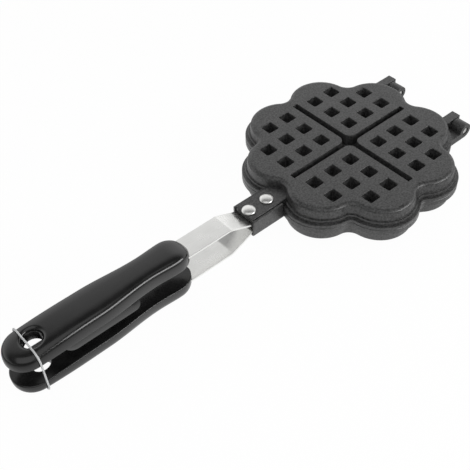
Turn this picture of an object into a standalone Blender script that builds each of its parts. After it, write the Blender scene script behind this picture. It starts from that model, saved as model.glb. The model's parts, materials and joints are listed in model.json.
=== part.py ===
"""Hand-held waffle iron for a hob: two cast plates with four hearts each, joined by a
slip hinge at the back, and two riveted strips that carry moulded grips.

Metres, +Z up. +X points from the grips to the hinge. The iron lies closed on its lower
plate and lower grip, and the origin is the middle of its base."""

import math

import bmesh
import bpy
from mathutils import Matrix, Vector

# Clearance that touching pieces keep, and how far a cutter passes the face it cuts
GAP = 0.0003
OVERRUN = 0.002

# Lobed plates, seen from above
LOBE_NEAR = 0.01955
LOBE_FAR = 0.04675
VALLEY_RADIUS = 0.0091
WALL_RADIUS = 0.0230
FACE_RADIUS = 0.0197
WALL_FOOT_RADIUS = 0.0237
BEAD_RADIUS = 0.0249
FLANGE_RADIUS = 0.0269
LOWER_WALL_RADIUS = 0.0239
LOWER_FOOT_RADIUS = 0.0232
EDGE_ROUND = 0.0026
FLANGE_BREAK = 0.0005

# Heights in the plates, measured from the parting plane between them
UPPER_HEIGHT = 0.0131
LOWER_HEIGHT = 0.0144
UPPER_FLANGE = 0.0026
LOWER_FLANGE = 0.0046
BEAD_HEIGHT = 0.0025

# Waffle side of the plates
ROOF = 0.0034
CAVITY_RADIUS = 0.0202
CAVITY_DRAFT = 0.0010
PEG_BELOW_RIM = 0.0023
PEG_WALL = 0.0021
RIDGE_WALL = 0.0021
RIDGE_BELOW_RIM = 0.0002
RIDGE_ROOT_ROUND = 0.0034

# Pockets and cross groove in the outer faces, the hollow backs of the pegs and ridges
PITCH = 0.0170
FIRST_POCKET = 0.0139
POCKETS_A_SIDE = 3
POCKET_SIDE = 0.0092
POCKET_FLOOR_SIDE = 0.0066
POCKET_FLOOR = 0.0021
GROOVE_WIDTH = 0.0045
GROOVE_FLOOR_WIDTH = 0.0027
GROOVE_REACH = 0.0552
GROOVE_CORNER = 0.0050

# Slip hinge: its axis lies in the parting plane
HINGE_CLEARANCE = 0.00715
BARREL_RADIUS = 0.0057
LUG_PAIR_Y = 0.0306
LOWER_LUG_WIDTH = 0.0099
UPPER_LUG_WIDTH = 0.0070
LUG_SIDE_GAP = 0.0005
LUG_LENGTH = 0.0248
LUG_BREAK = 0.0007
PIN_RADIUS = 0.0025
PIN_SINK = 0.0006

# Handle sockets: a flat tongue on the upper plate drops into a trough on the lower one
MOUTH_CLEARANCE = 0.00084
TONGUE_LENGTH = 0.0255
TONGUE_SIDE_GAP = 0.0004
TONGUE_TOP = 0.0072
TONGUE_THICKNESS = 0.0038
TONGUE_EDGE = 0.0006
TROUGH_LEAD = 0.0004
TROUGH_WALL = 0.0016
TROUGH_RIM = 0.0063
TROUGH_DEPTH = 0.0071
TROUGH_FLOOR = 0.0017
TROUGH_CORNER = 0.0022
SOCKET_ROOT_DEPTH = 0.0160

# Strips
STRIP_HALF_WIDTH = 0.00825
STRIP_THICKNESS = 0.0015
STRIP_SIDE_GAP = 0.00035
STRIP_END_GAP = 0.0011
RAMP_LEAD = 0.0001
RAMP_RUN = 0.0172
STRIP_FROM_GRIP_END = 0.0350
BEND_RADIUS = 0.0040

# Rivets
RIVET_FROM_MOUTH = 0.0060
RIVET_FROM_TIP = 0.0040
RIVET_HEAD_RADIUS = 0.0047
RIVET_HEAD_HEIGHT = 0.0016
RIVET_SHANK_RADIUS = 0.0024
RIVET_TAIL_RADIUS = 0.0036
RIVET_TAIL_HEIGHT = 0.0008

# Grips: two alike mouldings, face to face across the middle plane of the handle
HANDLE_DROP = 0.0012
GRIP_OFFSET = 0.0072
GRIP_FROM_RAMP = 0.0332
GRIP_LENGTH = 0.1240
GRIP_THICKNESS = 0.0108
GRIP_END_FALL = 0.0017
GRIP_SQUARENESS = 4.3
NOSE_TIP = 0.0026
NOSE_ROUND = 0.0130
NOSE_ROLL = 0.0140
NOSE_PLAN_POWER = 2.0
NOSE_TIP_HEIGHT_SHARE = 0.30
NOSE_END_SHARE = 0.9
COLLAR_STEP = 0.0003
END_CROWN_POWER = 0.35
END_TIP_SHARE = 0.8
BULB_PLACE = 0.0100
BULB_HALF_WIDTH = 0.0117
WAIST_PLACE = 0.0290
WAIST_HALF_WIDTH = 0.0108
SWELL_PLACE = 0.0680
SWELL_HALF_WIDTH = 0.0134
PALM_FROM_END = 0.0240
PALM_HALF_WIDTH = 0.0137
STRIP_OFFSET = 0.0108
HOLE_FROM_END = 0.0185
HOLE_RADIUS = 0.0060
HOLE_RIM_ROUND = 0.0026
HOLE_INNER_BREAK = 0.0006
RECESS_START = 0.0360
RECESS_FROM_END = 0.0340
RECESS_HALF_WIDTH = 0.0064
RECESS_DEPTH = 0.0014
RECESS_SECTION_SHARES = ((1.0, 0.0), (0.8, 0.36), (0.6, 0.64), (0.4, 0.84), (0.2, 0.96))

# Clear tie round the grips' ends
TIE_RADIUS = 0.0006
TIE_FROM_END = 0.0145

# Facets
LOBE_STEPS = 9
VALLEY_STEPS = 2
ROUND_STEPS = 4
SECTION_STEPS = 9
ROUND_SIDES = 24
BARREL_STEPS = 12
GRIP_STATIONS = 18
NOSE_STEPS = 7
END_STEPS = 7

# Places that follow from the sizes above
VALLEY_REACH = WALL_RADIUS + VALLEY_RADIUS
FLANGE_EDGE = LOBE_FAR + math.sqrt(FLANGE_RADIUS**2 - (LOBE_NEAR - STRIP_HALF_WIDTH)**2)
TROUGH_MOUTH = FLANGE_EDGE + MOUTH_CLEARANCE
TROUGH_RIM_START = TROUGH_MOUTH + GAP
SOCKET_ROOT = TROUGH_MOUTH - SOCKET_ROOT_DEPTH
TONGUE_REACH = TROUGH_MOUTH + TONGUE_LENGTH
TROUGH_REACH = TONGUE_REACH + TROUGH_LEAD
CHANNEL_HALF_WIDTH = STRIP_HALF_WIDTH + STRIP_SIDE_GAP
TONGUE_HALF_WIDTH = CHANNEL_HALF_WIDTH - TONGUE_SIDE_GAP
TROUGH_HALF_WIDTH = CHANNEL_HALF_WIDTH + TROUGH_WALL
RIVET_PLACES = (TROUGH_MOUTH + RIVET_FROM_MOUTH, TONGUE_REACH - RIVET_FROM_TIP)
STRIP_START = TROUGH_MOUTH + STRIP_END_GAP
RAMP_START = TONGUE_REACH + RAMP_LEAD
RAMP_END = RAMP_START + RAMP_RUN
GRIP_FRONT = RAMP_END + GRIP_FROM_RAMP
GRIP_REAR = GRIP_FRONT + GRIP_LENGTH
STRIP_END = GRIP_REAR - STRIP_FROM_GRIP_END
PALM_PLACE = GRIP_LENGTH - PALM_FROM_END
TIE_PLACE = GRIP_LENGTH - TIE_FROM_END
HINGE_REACH = LOBE_FAR + FLANGE_RADIUS + HINGE_CLEARANCE
LUG_ROOT = HINGE_REACH - LUG_LENGTH
LUG_REACH = HINGE_REACH + BARREL_RADIUS
PLATE_X = (GRIP_REAR - LUG_REACH) / 2
HANDLE_MIDDLE = GRIP_OFFSET + GRIP_THICKNESS
PARTING = HANDLE_MIDDLE + HANDLE_DROP
HINGE_X = PLATE_X + HINGE_REACH
UPPER_SOCKET_Z = PARTING + TONGUE_TOP - TONGUE_THICKNESS - GAP - STRIP_THICKNESS / 2
LOWER_SOCKET_Z = PARTING - TROUGH_DEPTH + TROUGH_FLOOR + GAP + STRIP_THICKNESS / 2


def clear_scene():
    for old in list(bpy.data.objects):
        bpy.data.objects.remove(old, do_unlink=True)


def finish_of(name, colour, roughness, metallic=0.0, alpha=1.0):
    material = bpy.data.materials.new(name)
    material.use_nodes = True
    shader = material.node_tree.nodes["Principled BSDF"]
    shader.inputs["Base Color"].default_value = (*colour, 1.0)
    shader.inputs["Roughness"].default_value = roughness
    shader.inputs["Metallic"].default_value = metallic
    shader.inputs["Alpha"].default_value = alpha
    return material


def solid(name, bm):
    """Turn a bmesh into an object with its faces pointing outwards."""
    bmesh.ops.recalc_face_normals(bm, faces=bm.faces)
    mesh = bpy.data.meshes.new(name)
    bm.to_mesh(mesh)
    bm.free()
    piece = bpy.data.objects.new(name, mesh)
    bpy.context.scene.collection.objects.link(piece)
    return piece


def loft(name, *stacks):
    """Close each stack of equal rings into a solid, all of them in one object."""
    bm = bmesh.new()
    for rings in stacks:
        loops = [[bm.verts.new(point) for point in ring] for ring in rings]
        bm.faces.new(loops[0])
        bm.faces.new(loops[-1])
        for low, high in zip(loops, loops[1:]):
            for k, corner in enumerate(low):
                bm.faces.new((low[k - 1], corner, high[k], high[k - 1]))
    return solid(name, bm)


def block(name, low, high, edge=0.0):
    """A box from its two corners, with its edges broken by the given width."""
    bm = bmesh.new()
    bmesh.ops.create_cube(bm, size=1.0)
    low, high = Vector(low), Vector(high)
    bmesh.ops.scale(bm, vec=high - low, verts=bm.verts)
    bmesh.ops.translate(bm, vec=(low + high) / 2, verts=bm.verts)
    if edge:
        bmesh.ops.bevel(bm, geom=bm.edges[:], offset=edge, segments=1, profile=0.5,
                        affect="EDGES", material=-1)
    return solid(name, bm)


def turned(name, profile, axis_matrix, sides=ROUND_SIDES):
    """Spin a profile of (radius, height) points, which starts and ends on the axis."""
    bm = bmesh.new()
    verts = [bm.verts.new((radius, 0.0, height)) for radius, height in profile]
    edges = [bm.edges.new(pair) for pair in zip(verts, verts[1:])]
    bmesh.ops.spin(bm, geom=verts + edges, cent=(0.0, 0.0, 0.0), axis=(0.0, 0.0, 1.0),
                   angle=math.tau, steps=sides, use_merge=True, use_duplicate=False)
    bmesh.ops.remove_doubles(bm, verts=bm.verts, dist=GAP / ROUND_SIDES)
    bmesh.ops.transform(bm, matrix=axis_matrix, verts=bm.verts)
    return solid(name, bm)


def cut(target, tool, operation="DIFFERENCE"):
    """Cut a tool out of the target, or join it on, and drop the tool."""
    step = target.modifiers.new("step", "BOOLEAN")
    step.operation = operation
    step.solver = "EXACT"
    step.object = tool
    bpy.context.view_layer.update()
    graph = bpy.context.evaluated_depsgraph_get()
    target.data = bpy.data.meshes.new_from_object(target.evaluated_get(graph))
    target.modifiers.clear()
    bpy.data.objects.remove(tool, do_unlink=True)


def dress(piece, material, smooth_angle=math.radians(32.0)):
    piece.data.materials.clear()
    piece.data.materials.append(material)
    piece.data.shade_smooth()
    piece.data.set_sharp_from_angle(angle=smooth_angle)
    return piece


def rod(name, radius, low, high):
    """A straight round bar between two points, as a piece or as a drill."""
    low, high = Vector(low), Vector(high)
    run = high - low
    turn = run.to_track_quat("Z", "Y").to_matrix().to_4x4()
    profile = [(0.0, 0.0), (radius, 0.0), (radius, run.length), (0.0, run.length)]
    return turned(name, profile, Matrix.Translation(low) @ turn)


def arc(centre, radius, start, stop, steps):
    """Points on an arc from one angle to another, both ends included."""
    turns = [start + (stop - start) * k / steps for k in range(steps + 1)]
    return [centre + radius * Vector((math.cos(a), math.sin(a))) for a in turns]


def angle_of(vector):
    return math.atan2(vector.y, vector.x)


def lobed_ring(radius, height):
    """The eight-lobed outline whose lobes have this radius. The valleys between lobes
    keep their centres, so outlines of different radii run parallel."""
    lobe = Vector((LOBE_FAR, LOBE_NEAR))
    half_span = (LOBE_FAR - LOBE_NEAR) / math.sqrt(2.0)
    side_valley = Vector((LOBE_FAR + math.sqrt(VALLEY_REACH**2 - LOBE_NEAR**2), 0.0))
    middle = (LOBE_FAR + LOBE_NEAR) / 2
    slant = math.sqrt((VALLEY_REACH**2 - half_span**2) / 2)
    corner_valley = Vector((middle + slant, middle + slant))
    hollow = VALLEY_REACH - radius
    octant = arc(side_valley, hollow, math.pi, angle_of(lobe - side_valley), VALLEY_STEPS)
    octant += arc(lobe, radius, angle_of(side_valley - lobe),
                  angle_of(corner_valley - lobe), LOBE_STEPS)[1:]
    octant += arc(corner_valley, hollow, angle_of(lobe - corner_valley),
                  -0.75 * math.pi, VALLEY_STEPS)[1:]
    quarter = octant + [point.yx for point in reversed(octant[1:-1])]
    quarters = [[Matrix.Rotation(k * math.pi / 2, 2) @ point for point in quarter]
                for k in range(4)]
    return [(p.x + PLATE_X, p.y, height) for points in quarters for p in points]


def square_ring(x, y, half_side, height):
    corners = ((-1, -1), (1, -1), (1, 1), (-1, 1))
    return [(PLATE_X + x + half_side * i, y + half_side * j, height) for i, j in corners]


def cross_ring(half_width, reach, corner, height):
    """A cross with square ends and rounded inner corners."""
    centre = Vector((half_width + corner, half_width + corner))
    arm = [Vector((reach, -half_width)), Vector((reach, half_width))]
    arm += arc(centre, corner, 1.5 * math.pi, math.pi, ROUND_STEPS)
    quarters = [[Matrix.Rotation(k * math.pi / 2, 2) @ point for point in arm]
                for k in range(4)]
    return [(p.x + PLATE_X, p.y, height) for points in quarters for p in points]


def pocket_places():
    """Centres of the pockets, eight to a heart: a square of nine without its far corner."""
    rows = [FIRST_POCKET + PITCH * k for k in range(POCKETS_A_SIDE)]
    heart = [(x, y) for x in rows for y in rows if (x, y) != (rows[-1], rows[-1])]
    return [(i * x, j * y) for x, y in heart for i in (-1, 1) for j in (-1, 1)]


def share_between(start, stop, share):
    return start + (stop - start) * share


def upper_outline():
    """Outer side of the upper plate as (lobe radius, height), from the parting plane up."""
    edge_start = UPPER_HEIGHT - EDGE_ROUND
    bead_top = UPPER_FLANGE + BEAD_HEIGHT
    outline = [
        (FLANGE_RADIUS, 0.0),
        (FLANGE_RADIUS, UPPER_FLANGE - FLANGE_BREAK),
        (FLANGE_RADIUS - FLANGE_BREAK, UPPER_FLANGE),
        (BEAD_RADIUS, UPPER_FLANGE),
        (BEAD_RADIUS, bead_top - FLANGE_BREAK),
        (WALL_FOOT_RADIUS, bead_top),
    ]
    return outline + rounded_top(WALL_RADIUS, WALL_RADIUS - FACE_RADIUS, edge_start, EDGE_ROUND)


def lower_outline():
    """Outer side of the lower plate as (lobe radius, depth), from the parting plane down."""
    edge_start = LOWER_HEIGHT - EDGE_ROUND
    outline = [
        (FLANGE_RADIUS, 0.0),
        (FLANGE_RADIUS, LOWER_FLANGE - FLANGE_BREAK),
        (FLANGE_RADIUS - FLANGE_BREAK, LOWER_FLANGE),
        (LOWER_WALL_RADIUS, LOWER_FLANGE),
    ]
    return outline + rounded_top(LOWER_FOOT_RADIUS, EDGE_ROUND, edge_start, EDGE_ROUND)


def rounded_top(radius, inset, start, rise):
    quarter = [k * math.pi / 2 / ROUND_STEPS for k in range(ROUND_STEPS + 1)]
    return [(radius - inset * (1.0 - math.cos(a)), start + rise * math.sin(a)) for a in quarter]


def lug(name, low_y, high_y, upper):
    """One ear of the hinge and its arm back into the rim. The lower ear ends in a barrel
    round the axis, and the upper one keeps a flat top and a square back above its own."""
    side = 1.0 if upper else -1.0
    centre = Vector((HINGE_X, PARTING))
    if upper:
        reach = BARREL_RADIUS - LUG_BREAK
        turns = [centre + Vector((reach, BARREL_RADIUS)), centre + Vector((BARREL_RADIUS, reach))]
        turns += arc(centre, BARREL_RADIUS, 0.0, -math.pi, BARREL_STEPS)
    else:
        turns = arc(centre, BARREL_RADIUS, -math.pi / 2, math.pi, 3 * BARREL_STEPS // 2)
    root_x = PLATE_X + LUG_ROOT
    shelf = PARTING + side * GAP
    outline = turns[:-1] + [Vector((HINGE_X - BARREL_RADIUS, shelf)), Vector((root_x, shelf)),
                            Vector((root_x, PARTING + side * BARREL_RADIUS))]
    rings = [[(p.x, y, p.y) for p in outline] for y in (low_y, high_y)]
    return loft(name, rings)


def hinge_spans():
    """Sideways spans of each pair's lower and upper ear."""
    pair_width = LOWER_LUG_WIDTH + LUG_SIDE_GAP + UPPER_LUG_WIDTH
    for name, centre in (("left", LUG_PAIR_Y), ("right", -LUG_PAIR_Y)):
        start = centre - pair_width / 2
        lower = (start, start + LOWER_LUG_WIDTH)
        upper = (lower[1] + LUG_SIDE_GAP, start + pair_width)
        yield name, lower, upper


def cast_plate(name, outline, height, side, fittings):
    """One casting. Side is 1 for the plate above the parting plane and -1 below it."""
    def level(distance):
        return PARTING + side * distance

    plate = loft(name, [lobed_ring(radius, level(z)) for radius, z in outline])
    for fitting in fittings:
        cut(plate, fitting, "UNION")

    floor = height - ROOF
    cavity = loft("cavity", [lobed_ring(CAVITY_RADIUS, level(-OVERRUN)),
                             lobed_ring(CAVITY_RADIUS, level(0.0)),
                             lobed_ring(CAVITY_RADIUS - CAVITY_DRAFT, level(floor))])
    cut(plate, cavity)

    pocket_floor = PEG_BELOW_RIM + POCKET_FLOOR
    pocket_slope = (POCKET_SIDE - POCKET_FLOOR_SIDE) / (height - pocket_floor)
    groove_slope = (GROOVE_WIDTH - GROOVE_FLOOR_WIDTH) / (height - pocket_floor)
    root = floor + ROOF / 2

    def pocket_half(z):
        return (POCKET_SIDE - pocket_slope * (height - z)) / 2

    def groove_half(z):
        return (GROOVE_WIDTH - groove_slope * (height - z)) / 2

    pegs = [[square_ring(x, y, pocket_half(z) + PEG_WALL, level(z))
             for z in (PEG_BELOW_RIM, root)] for x, y in pocket_places()]
    cut(plate, loft("pegs", *pegs), "UNION")
    ridge_reach = LOBE_FAR + math.sqrt(VALLEY_REACH**2 - LOBE_NEAR**2) - VALLEY_RADIUS
    ridge = [cross_ring(groove_half(z) + RIDGE_WALL, ridge_reach, RIDGE_ROOT_ROUND, level(z))
             for z in (RIDGE_BELOW_RIM, root)]
    cut(plate, loft("ridge", ridge), "UNION")

    top = height + OVERRUN
    pockets = [[square_ring(x, y, pocket_half(z), level(z)) for z in (pocket_floor, top)]
               for x, y in pocket_places()]
    cut(plate, loft("pockets", *pockets))
    groove = [cross_ring(groove_half(z), GROOVE_REACH, GROOVE_CORNER, level(z))
              for z in (pocket_floor, top)]
    cut(plate, loft("groove", groove))
    return plate


def make_upper_plate(material):
    top = PARTING + TONGUE_TOP
    tongue = block("tongue", (PLATE_X - TONGUE_REACH, -TONGUE_HALF_WIDTH, top - TONGUE_THICKNESS),
                   (PLATE_X - SOCKET_ROOT, TONGUE_HALF_WIDTH, top), TONGUE_EDGE)
    lugs = [lug("lug", *upper, True) for _, _, upper in hinge_spans()]
    plate = cast_plate("upper_plate", upper_outline(), UPPER_HEIGHT, 1.0, [tongue, *lugs])
    for place in RIVET_PLACES:
        cut(plate, rod("drill", RIVET_SHANK_RADIUS + GAP, (PLATE_X - place, 0.0, PARTING),
                       (PLATE_X - place, 0.0, top + OVERRUN)))
    for _, lower, upper in hinge_spans():
        cut(plate, rod("drill", PIN_RADIUS + GAP, (HINGE_X, lower[1], PARTING),
                       (HINGE_X, upper[1] + OVERRUN, PARTING)))
    return dress(plate, material)


def make_trough():
    """The socket under the upper tongue: a channel with a rounded base."""
    base = PARTING - TROUGH_DEPTH
    rim = PARTING + TROUGH_RIM
    inner = TROUGH_HALF_WIDTH - TROUGH_CORNER
    right = arc(Vector((inner, base + TROUGH_CORNER)), TROUGH_CORNER, -math.pi / 2, 0.0, ROUND_STEPS)
    section = right + [Vector((TROUGH_HALF_WIDTH, rim)), Vector((-TROUGH_HALF_WIDTH, rim))]
    section += [Vector((-p.x, p.y)) for p in reversed(right)]
    ends = (PLATE_X - TROUGH_REACH, PLATE_X - SOCKET_ROOT)
    trough = loft("trough", [[(x, p.x, p.y) for p in section] for x in ends])
    cut(trough, block("channel", (ends[0] - OVERRUN, -CHANNEL_HALF_WIDTH, base + TROUGH_FLOOR),
                      (PLATE_X - TROUGH_MOUTH, CHANNEL_HALF_WIDTH, rim + OVERRUN)))
    cut(trough, block("step", (PLATE_X - TROUGH_RIM_START, -TROUGH_HALF_WIDTH - OVERRUN, PARTING),
                      (ends[1] + OVERRUN, TROUGH_HALF_WIDTH + OVERRUN, rim + OVERRUN)))
    return trough


def make_lower_plate(material):
    lugs = [lug("lug", *lower, False) for _, lower, _ in hinge_spans()]
    plate = cast_plate("lower_plate", lower_outline(), LOWER_HEIGHT, -1.0, [make_trough(), *lugs])
    for place in RIVET_PLACES:
        cut(plate, rod("drill", RIVET_SHANK_RADIUS + GAP, (PLATE_X - place, 0.0, 0.0),
                       (PLATE_X - place, 0.0, PARTING)))
    for _, lower, upper in hinge_spans():
        cut(plate, rod("drill", PIN_RADIUS + GAP, (HINGE_X, lower[0] - OVERRUN, PARTING),
                       (HINGE_X, upper[0], PARTING)))
    return dress(plate, material)


def strip_line(socket_z, grip_z):
    """Middle line of a strip in the XZ plane: level, ramp, level, with round bends."""
    corners = [Vector((PLATE_X - STRIP_START, socket_z)), Vector((PLATE_X - RAMP_START, socket_z)),
               Vector((PLATE_X - RAMP_END, grip_z)), Vector((PLATE_X - STRIP_END, grip_z))]
    line = [corners[0]]
    for before, corner, after in zip(corners, corners[1:], corners[2:]):
        way_in, way_out = (corner - before).normalized(), (after - corner).normalized()
        bend = way_in.angle_signed(way_out)
        setback = BEND_RADIUS * math.tan(abs(bend) / 2)
        for k in range(ROUND_STEPS + 1):
            share = k / ROUND_STEPS
            start, stop = corner - way_in * setback, corner + way_out * setback
            line.append(start.lerp(corner, share).lerp(corner.lerp(stop, share), share))
    return line + [corners[-1]]


def make_strip(name, socket_z, grip_z, rivet_drill, material):
    line = strip_line(socket_z, grip_z)
    faces = []
    for k, point in enumerate(line):
        along = (line[min(k + 1, len(line) - 1)] - line[max(k - 1, 0)]).normalized()
        faces.append(Vector((-along.y, along.x)) * STRIP_THICKNESS / 2)
    section = [point + lift for point, lift in zip(line, faces)]
    section += [point - lift for point, lift in zip(reversed(line), reversed(faces))]
    rings = [[(p.x, y, p.y) for p in section] for y in (-STRIP_HALF_WIDTH, STRIP_HALF_WIDTH)]
    strip = loft(name, rings)
    reach = STRIP_THICKNESS + OVERRUN
    for place in RIVET_PLACES:
        cut(strip, rod("drill", rivet_drill, (PLATE_X - place, 0.0, socket_z - reach),
                       (PLATE_X - place, 0.0, socket_z + reach)))
    return dress(strip, material)


def make_rivet(name, place, seat, far, side, material):
    """A domed rivet: its head stands on the seat and its tail closes past the far face."""
    dome = [(RIVET_HEAD_RADIUS * math.cos(a), GAP + RIVET_HEAD_HEIGHT * math.sin(a))
            for a in (k * math.pi / 2 / ROUND_STEPS for k in range(ROUND_STEPS))]
    top = GAP + RIVET_HEAD_HEIGHT
    tail = -abs(seat - far) - GAP
    profile = [(0.0, top)] + dome[::-1]
    profile += [(RIVET_SHANK_RADIUS, GAP), (RIVET_SHANK_RADIUS, tail), (RIVET_TAIL_RADIUS, tail),
                (RIVET_TAIL_RADIUS, tail - RIVET_TAIL_HEIGHT), (0.0, tail - RIVET_TAIL_HEIGHT)]
    turn = Matrix.Identity(4) if side > 0 else Matrix.Rotation(math.pi, 4, "X")
    matrix = Matrix.Translation((PLATE_X - place, 0.0, seat)) @ turn
    return dress(turned(name, profile, matrix), material)


def grip_half_width(along):
    """Half the grip's width, from its nose: a bulb, a waist, a palm swell, a round end."""
    knots = ((BULB_PLACE, BULB_HALF_WIDTH), (WAIST_PLACE, WAIST_HALF_WIDTH),
             (SWELL_PLACE, SWELL_HALF_WIDTH), (PALM_PLACE, PALM_HALF_WIDTH))
    if along <= BULB_PLACE:
        return BULB_HALF_WIDTH
    for (start, wide), (stop, wide_next) in zip(knots, knots[1:]):
        if along <= stop:
            ease = (1.0 - math.cos(math.pi * (along - start) / (stop - start))) / 2
            return share_between(wide, wide_next, ease)
    return PALM_HALF_WIDTH


def grip_thickness(along):
    """Thickness from the inner face to the crown. It falls away over the last third."""
    fall_start = GRIP_LENGTH - 2.0 * (GRIP_LENGTH - PALM_PLACE)
    share = max(0.0, (along - fall_start) / (TIE_PLACE - fall_start))
    return GRIP_THICKNESS - GRIP_END_FALL * min(1.0, share)**2


def grip_section(along, width_share=1.0, height_share=1.0, grow=0.0):
    """Section of a grip on its flat inner face: an arch between an ellipse and a box."""
    half = grip_half_width(along) * width_share + grow
    rise = grip_thickness(along) * height_share + grow
    power = 2.0 / GRIP_SQUARENESS
    turns = [math.pi / 2 * k / SECTION_STEPS for k in range(SECTION_STEPS)]
    side = [(half * math.cos(turn)**power, rise * math.sin(turn)**power) for turn in turns]
    side.append((0.0, rise))
    return side + [(-y, z) for y, z in reversed(side[:-1])]


def nose_station(along, grow):
    """The nose is a dome: round from above, with a crown that rolls down to its tip."""
    reach = max(0.0, NOSE_ROUND - NOSE_TIP - along) / NOSE_ROUND
    roll = max(0.0, NOSE_ROLL - NOSE_TIP - along) / NOSE_ROLL
    wide = (1.0 - reach**NOSE_PLAN_POWER)**(1.0 / NOSE_PLAN_POWER)
    return (along, wide, share_between(NOSE_TIP_HEIGHT_SHARE, 1.0, math.sqrt(1.0 - roll**2)), grow)


def grip_stations():
    """Sections along the grip as (distance from the nose's collar, width share, height share,
    grow). The collar round the tip is a step smaller than the grip behind it."""
    turns = [math.pi / 2 * NOSE_END_SHARE * k / NOSE_STEPS for k in range(NOSE_STEPS, -1, -1)]
    places = [NOSE_ROUND * (1.0 - math.sin(turn)) - NOSE_TIP for turn in turns]
    places.append(NOSE_ROLL - NOSE_TIP)
    stations = [nose_station(along, -COLLAR_STEP) for along in places if along < -COLLAR_STEP]
    stations += [nose_station(-COLLAR_STEP, -COLLAR_STEP), nose_station(0.0, 0.0)]
    stations += [nose_station(along, 0.0) for along in places if along > 0.0]
    body_start, body_stop = stations[-1][0], GRIP_LENGTH - PALM_HALF_WIDTH
    for k in range(1, GRIP_STATIONS + 1):
        stations.append((share_between(body_start, body_stop, k / GRIP_STATIONS), 1.0, 1.0, 0.0))
    for k in range(1, END_STEPS):
        turn = math.pi / 2 * k / END_STEPS
        along = body_stop + PALM_HALF_WIDTH * math.sin(turn)
        stations.append((along, math.cos(turn), math.cos(turn)**END_CROWN_POWER, 0.0))
    _, wide, high, _ = stations[-1]
    return stations + [(GRIP_LENGTH, wide / 2, high * END_TIP_SHARE, 0.0)]


def make_grip(name, side, material):
    """One moulding. Side is 1 for the upper grip and -1 for the lower one, turned over."""
    inner = HANDLE_MIDDLE + side * GRIP_OFFSET

    def place(along, y, z):
        return (PLATE_X - GRIP_FRONT - along, y, inner + side * z)

    grip = loft(name, [[place(station[0], y, z) for y, z in grip_section(*station)]
                       for station in grip_stations()])

    hole_x = PLATE_X - GRIP_REAR + HOLE_FROM_END
    crown = grip_thickness(GRIP_LENGTH - HOLE_FROM_END)
    wide = HOLE_RADIUS + HOLE_INNER_BREAK + OVERRUN
    profile = [(0.0, -OVERRUN), (wide, -OVERRUN), (HOLE_RADIUS, HOLE_INNER_BREAK)]
    for k in range(ROUND_STEPS + 1):
        turn = math.pi / 2 * k / ROUND_STEPS
        profile.append((HOLE_RADIUS + HOLE_RIM_ROUND * (1.0 - math.cos(turn)),
                        crown - HOLE_RIM_ROUND * (1.0 - math.sin(turn))))
    wide = HOLE_RADIUS + HOLE_RIM_ROUND + OVERRUN
    profile += [(wide, crown + HOLE_RIM_ROUND), (0.0, crown + HOLE_RIM_ROUND)]
    turn = Matrix.Identity(4) if side > 0 else Matrix.Rotation(math.pi, 4, "X")
    cut(grip, turned("hole", profile, Matrix.Translation((hole_x, 0.0, inner)) @ turn))

    slot = STRIP_HALF_WIDTH + GAP
    seat = HANDLE_MIDDLE + side * STRIP_OFFSET
    half = STRIP_THICKNESS / 2 + GAP
    cut(grip, block("slot", (PLATE_X - STRIP_END - GAP, -slot, seat - half),
                    (PLATE_X - GRIP_FRONT + NOSE_TIP + OVERRUN, slot, seat + half)))

    ends = (RECESS_START + RECESS_HALF_WIDTH, GRIP_LENGTH - RECESS_FROM_END - RECESS_HALF_WIDTH)

    def oblong(half, z):
        points = arc(Vector((ends[0], 0.0)), half, math.pi / 2, 1.5 * math.pi, 2 * ROUND_STEPS)
        points += arc(Vector((ends[1], 0.0)), half, -math.pi / 2, math.pi / 2, 2 * ROUND_STEPS)
        return [place(p.x, p.y, z) for p in points]

    scoop = [oblong(RECESS_HALF_WIDTH * wide, RECESS_DEPTH * deep)
             for wide, deep in RECESS_SECTION_SHARES]
    cut(grip, loft("recess", [oblong(RECESS_HALF_WIDTH, -OVERRUN)] + scoop))
    return dress(grip, material, math.radians(40.0))


def make_tie(material):
    """A thin loop round both grips, over the hanging holes."""
    section = grip_section(TIE_PLACE, grow=GAP + TIE_RADIUS)
    upper = [Vector((y, z + GRIP_OFFSET)) for y, z in section]
    path = upper + [Vector((-p.x, -p.y)) for p in upper]
    curve = bpy.data.curves.new("tie", "CURVE")
    curve.dimensions = "3D"
    curve.bevel_depth = TIE_RADIUS
    curve.bevel_resolution = 1
    spline = curve.splines.new("POLY")
    spline.points.add(len(path) - 1)
    for point, p in zip(spline.points, path):
        point.co = (0.0, p.x, p.y, 1.0)
    spline.use_cyclic_u = True
    tie = bpy.data.objects.new("tie", curve)
    bpy.context.scene.collection.objects.link(tie)
    tie.location = (PLATE_X - GRIP_FRONT - TIE_PLACE, 0.0, HANDLE_MIDDLE)
    curve.materials.append(material)
    return tie


def hinge_frame(pieces):
    """Hang the opening half on an empty that sits on the hinge's axis."""
    axis = bpy.data.objects.new("opening_axis", None)
    bpy.context.scene.collection.objects.link(axis)
    axis.location = (HINGE_X, 0.0, PARTING)
    for piece in pieces:
        piece.parent = axis
        piece.location -= axis.location


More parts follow.
